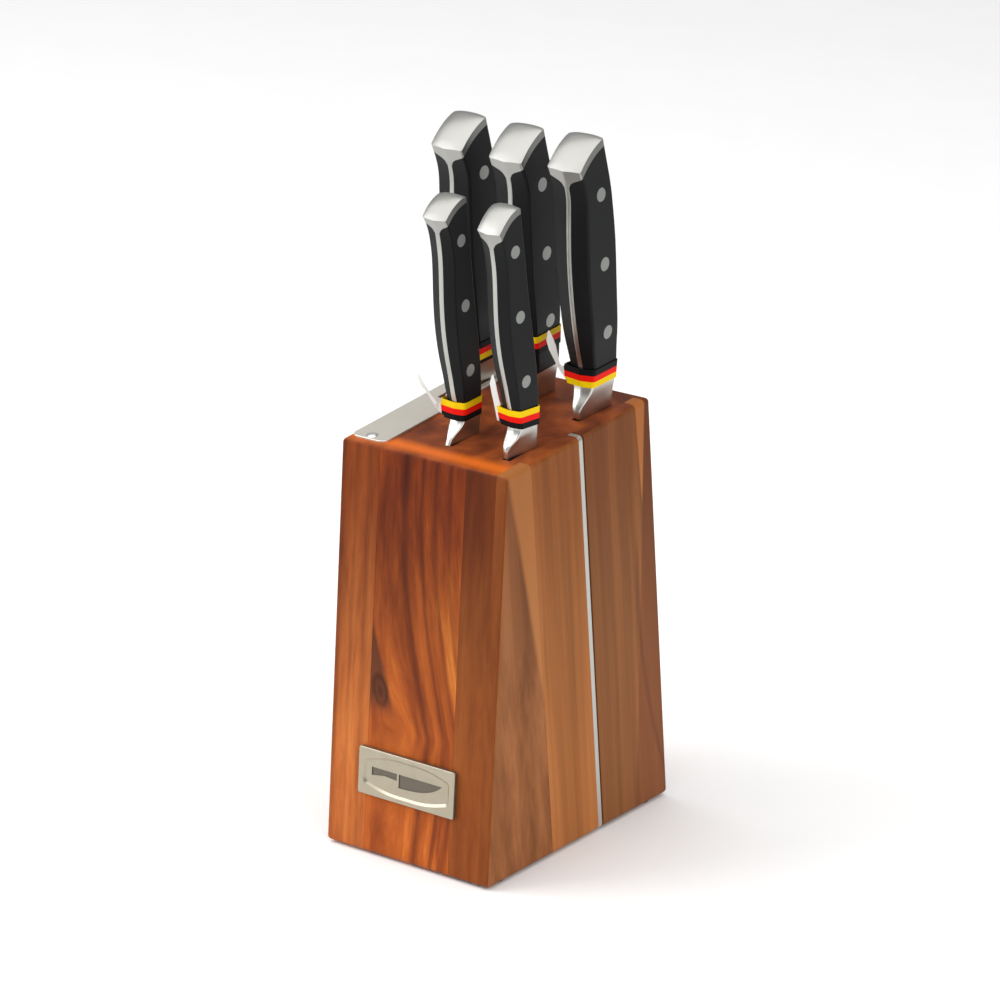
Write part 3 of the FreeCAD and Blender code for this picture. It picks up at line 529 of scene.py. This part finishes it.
# ---------------------------------------------------------------- plastic, rubber, paper
SCALE_DARK = srgb(8, 9, 11)
SCALE_LIGHT = srgb(13, 14, 16)
SCALE_CLOUDS = srgb(7, 8, 9)
RUBBER_DARK = srgb(22, 22, 22)
RUBBER_LIGHT = srgb(40, 39, 38)
SCALE_RELIEF = 0.00005                # metres
RUBBER_RELIEF = 0.0001


def black_scale():
    look = Look("black_scale")
    fine = look.noise(look.place(LEAN, (1.8, 1.8, 0.9)), detail=3.0)
    cloud = look.noise(look.place(LEAN, (0.06, 0.06, 0.03)), detail=2.0)
    tone = look.mix(look.span(fine, 0.35, 0.7), SCALE_DARK, SCALE_LIGHT)
    look.shade(Base_Color=look.mix(look.times(cloud, 0.4), tone, SCALE_CLOUDS))
    look.shade(Roughness=look.add(look.times(fine, 0.08), 0.40), Specular_IOR_Level=0.17)
    look.bump(fine, 0.12, SCALE_RELIEF)
    return look.material


def foot_rubber():
    look = Look("foot_rubber")
    fine = look.noise(look.place(0.0, (2.0, 2.0, 2.0)), detail=3.0)
    look.shade(Base_Color=look.mix(fine, RUBBER_DARK, RUBBER_LIGHT))
    look.shade(Roughness=look.add(look.times(fine, 0.2), 0.6))
    look.bump(fine, 0.3, RUBBER_RELIEF)
    return look.material


LABEL_HEIGHT = 9.7
GOLD = srgb(238, 200, 0)
SIGNAL_RED = srgb(232, 20, 8)
INK = srgb(12, 13, 14)
PAPER = srgb(226, 225, 221)
PAPER_FIBRE = srgb(196, 193, 188)
PAPER_RELIEF = 0.00005                # metres
GOLD_ON_TOP = (GOLD, SIGNAL_RED, INK)
INK_ON_TOP = (INK, SIGNAL_RED, GOLD)


def label_paper(name, knife):
    """Printed paper: three stripes round the knife, and plain where it curls away."""
    x, along, seat, tilt, low, slope, band_edge, stripes = knife
    lean = LEAN + math.radians(tilt)
    start = Matrix.Rotation(LEAN, 3, "X") @ Vector((x, along, seat))
    start = Matrix.Rotation(-lean, 3, "X") @ (MM * TOP_FRONT + start)
    look = Look("paper_" + name)
    across, back, height = look.split(look.place(lean, shift=-start))
    height = look.minus(height, look.times(back, slope))
    share = look.math("DIVIDE", look.minus(height, low), LABEL_HEIGHT)
    color = look.mix(look.span(share, 0.325, 0.335), stripes[2], stripes[1])
    color = look.mix(look.span(share, 0.655, 0.665), color, stripes[0])
    loose = look.math("MAXIMUM", look.span(across, band_edge - 0.3, band_edge, 1.0, 0.0),
                      look.span(share, 1.01, 1.04))
    fibre = look.noise(look.place(lean, (3.0, 3.0, 3.0)), detail=3.0)
    sheet = look.mix(look.times(fibre, 0.3), PAPER, PAPER_FIBRE)
    printed = look.mix(look.times(fibre, 0.12), color, tuple(0.8 * c for c in PAPER), "MULTIPLY")
    color = look.mix(loose, printed, sheet)
    look.shade(Base_Color=color, Roughness=look.add(look.times(fibre, 0.15), 0.45))
    look.shade(Specular_IOR_Level=0.12)
    look.bump(fibre, 0.12, PAPER_RELIEF)
    return look.material


# ---------------------------------------------------------------- assigning
def dress(node, material):
    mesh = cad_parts[node].data
    mesh.materials.clear()
    mesh.materials.append(material)


# Each knife: place across, along the top and above it, tilt, where the label starts along the
# knife, the label's slope, where its loose end leaves the band, the stripes from the top down.
KNIVES = {
    "chef": (-35.2, 78.0, -1.0, 0.0, 16.5, 0.0, -10.6, INK_ON_TOP),
    "bread": (1.0, 77.9, -1.1, 0.45, 27.5, 0.0, -11.6, GOLD_ON_TOP),
    "carving": (37.2, 76.0, 0.3, 0.0, 15.9, -0.03, -10.6, INK_ON_TOP),
    "utility": (1.0, 21.6, 0.3, 1.0, 10.6, -0.05, -8.7, GOLD_ON_TOP),
    "paring": (36.9, 20.4, 2.2, 2.5, 12.8, -0.15, -8.9, GOLD_ON_TOP),
}


def dress_block():
    woods = {
        left_wood(): ["left_board", "left_slot_front_spacer", "left_slot_rear_spacer",
                      "left_inner_board"],
        centre_wood(): ["left_core_board", "middle_slot_front_spacer",
                        "middle_slot_centre_spacer", "middle_slot_rear_spacer",
                        "right_core_board"],
        right_wood(): ["right_slot_board", "right_slot_front_spacer", "right_slot_centre_spacer",
                       "right_slot_rear_spacer", "right_inner_board"],
        corner_wood(): ["right_outer_corner_board"],
        side_wood(): ["right_outer_front_board"],
        rear_wood(): ["right_outer_rear_board"],
    }
    for material, nodes in woods.items():
        for node in nodes:
            dress(node, material)
    dress("side_inlay_strip", brushed("strip_steel", STRIP_STEEL, 0.38, (9, 9, 0.12), LEAN))
    dress("top_cover_plate", brushed("plate_steel", PLATE_STEEL, 0.45, (9, 0.12, 9), LEAN))
    dress("cover_plate_screws", brushed("screw_steel", SCREW_STEEL, 0.28, (4, 4, 4)))
    dress("badge", badge_nickel())
    dress("badge_pins", brushed("pin_steel", PIN_STEEL, 0.35, (4, 4, 4)))
    dress("feet", foot_rubber())


def dress_knives():
    steel = forged_steel()
    rivet = brushed("rivet_steel", RIVET_STEEL, 0.42, (5, 5, 5), LEAN)
    scale = black_scale()
    for name, knife in KNIVES.items():
        dress(name + "_forging", steel)
        dress(name + "_left_scale", scale)
        dress(name + "_right_scale", scale)
        dress(name + "_rivets", rivet)
        dress(name + "_label", label_paper(name, knife))


# ---------------------------------------------------------------- stage
FLOOR_REACH = 8.0
# Each soft box: where it hangs, its width and height, and its power in watts.
SOFT_BOXES = {
    "top_box": ((-0.5, -0.4, 2.4), (2.6, 2.6), 34.0),
    "left_box": ((-1.9, -1.6, 1.3), (1.6, 1.8), 34.0),
    "right_box": ((2.2, -0.9, 1.2), (1.2, 1.8), 22.0),
}
LIGHTS_AIM = Vector((0.0, 0.0, 0.2))
SKY_STOPS = [(0.0, (0.30, 0.30, 0.31)), (0.7, (0.95, 0.95, 0.95))]   # darker low, paler high
SKY_STRENGTH = 0.75


def make_floor():
    look = Look("pale_floor")
    grainy = look.noise(look.place(0.0, (0.02, 0.02, 0.02)), detail=3.0)
    look.shade(Base_Color=look.mix(grainy, (0.93, 0.93, 0.93), (0.97, 0.97, 0.965)))
    look.shade(Roughness=0.75, Specular_IOR_Level=0.2)
    mesh = bpy.data.meshes.new("floor")
    corners = [(-FLOOR_REACH, -FLOOR_REACH, 0), (FLOOR_REACH, -FLOOR_REACH, 0),
               (FLOOR_REACH, FLOOR_REACH, 0), (-FLOOR_REACH, FLOOR_REACH, 0)]
    mesh.from_pydata(corners, [], [(0, 1, 2, 3)])
    mesh.materials.append(look.material)
    floor = bpy.data.objects.new("floor", mesh)
    bpy.context.scene.collection.objects.link(floor)


def soft_box(name, place, size, power):
    data = bpy.data.lights.new(name, "AREA")
    data.shape = "RECTANGLE"
    data.size, data.size_y = size
    data.energy = power
    light = bpy.data.objects.new(name, data)
    light.location = place
    light.rotation_euler = (LIGHTS_AIM - Vector(place)).to_track_quat("-Z", "Y").to_euler()
    bpy.context.scene.collection.objects.link(light)


def make_sky():
    """An even pale studio, a little darker towards the ground."""
    world = bpy.data.worlds.new("studio")
    bpy.context.scene.world = world
    world.use_nodes = True
    tree = world.node_tree
    tree.nodes.clear()
    place = tree.nodes.new("ShaderNodeTexCoord")
    split = tree.nodes.new("ShaderNodeSeparateXYZ")
    ramp = tree.nodes.new("ShaderNodeValToRGB")
    light = tree.nodes.new("ShaderNodeBackground")
    output = tree.nodes.new("ShaderNodeOutputWorld")
    for element, (position, color) in zip(ramp.color_ramp.elements, SKY_STOPS):
        element.position = position
        element.color = (*color, 1.0)
    light.inputs["Strength"].default_value = SKY_STRENGTH
    tree.links.new(place.outputs["Generated"], split.inputs[0])
    tree.links.new(split.outputs[2], ramp.inputs[0])
    tree.links.new(ramp.outputs[0], light.inputs[0])
    tree.links.new(light.outputs[0], output.inputs[0])


def make_lights():
    for name, (place, size, power) in SOFT_BOXES.items():
        soft_box(name, place, size, power)
    make_sky()
    bpy.context.scene.view_settings.view_transform = "Standard"


# ---------------------------------------------------------------- all of it
make_camera()
make_floor()
make_lights()
dress_block()
dress_knives()
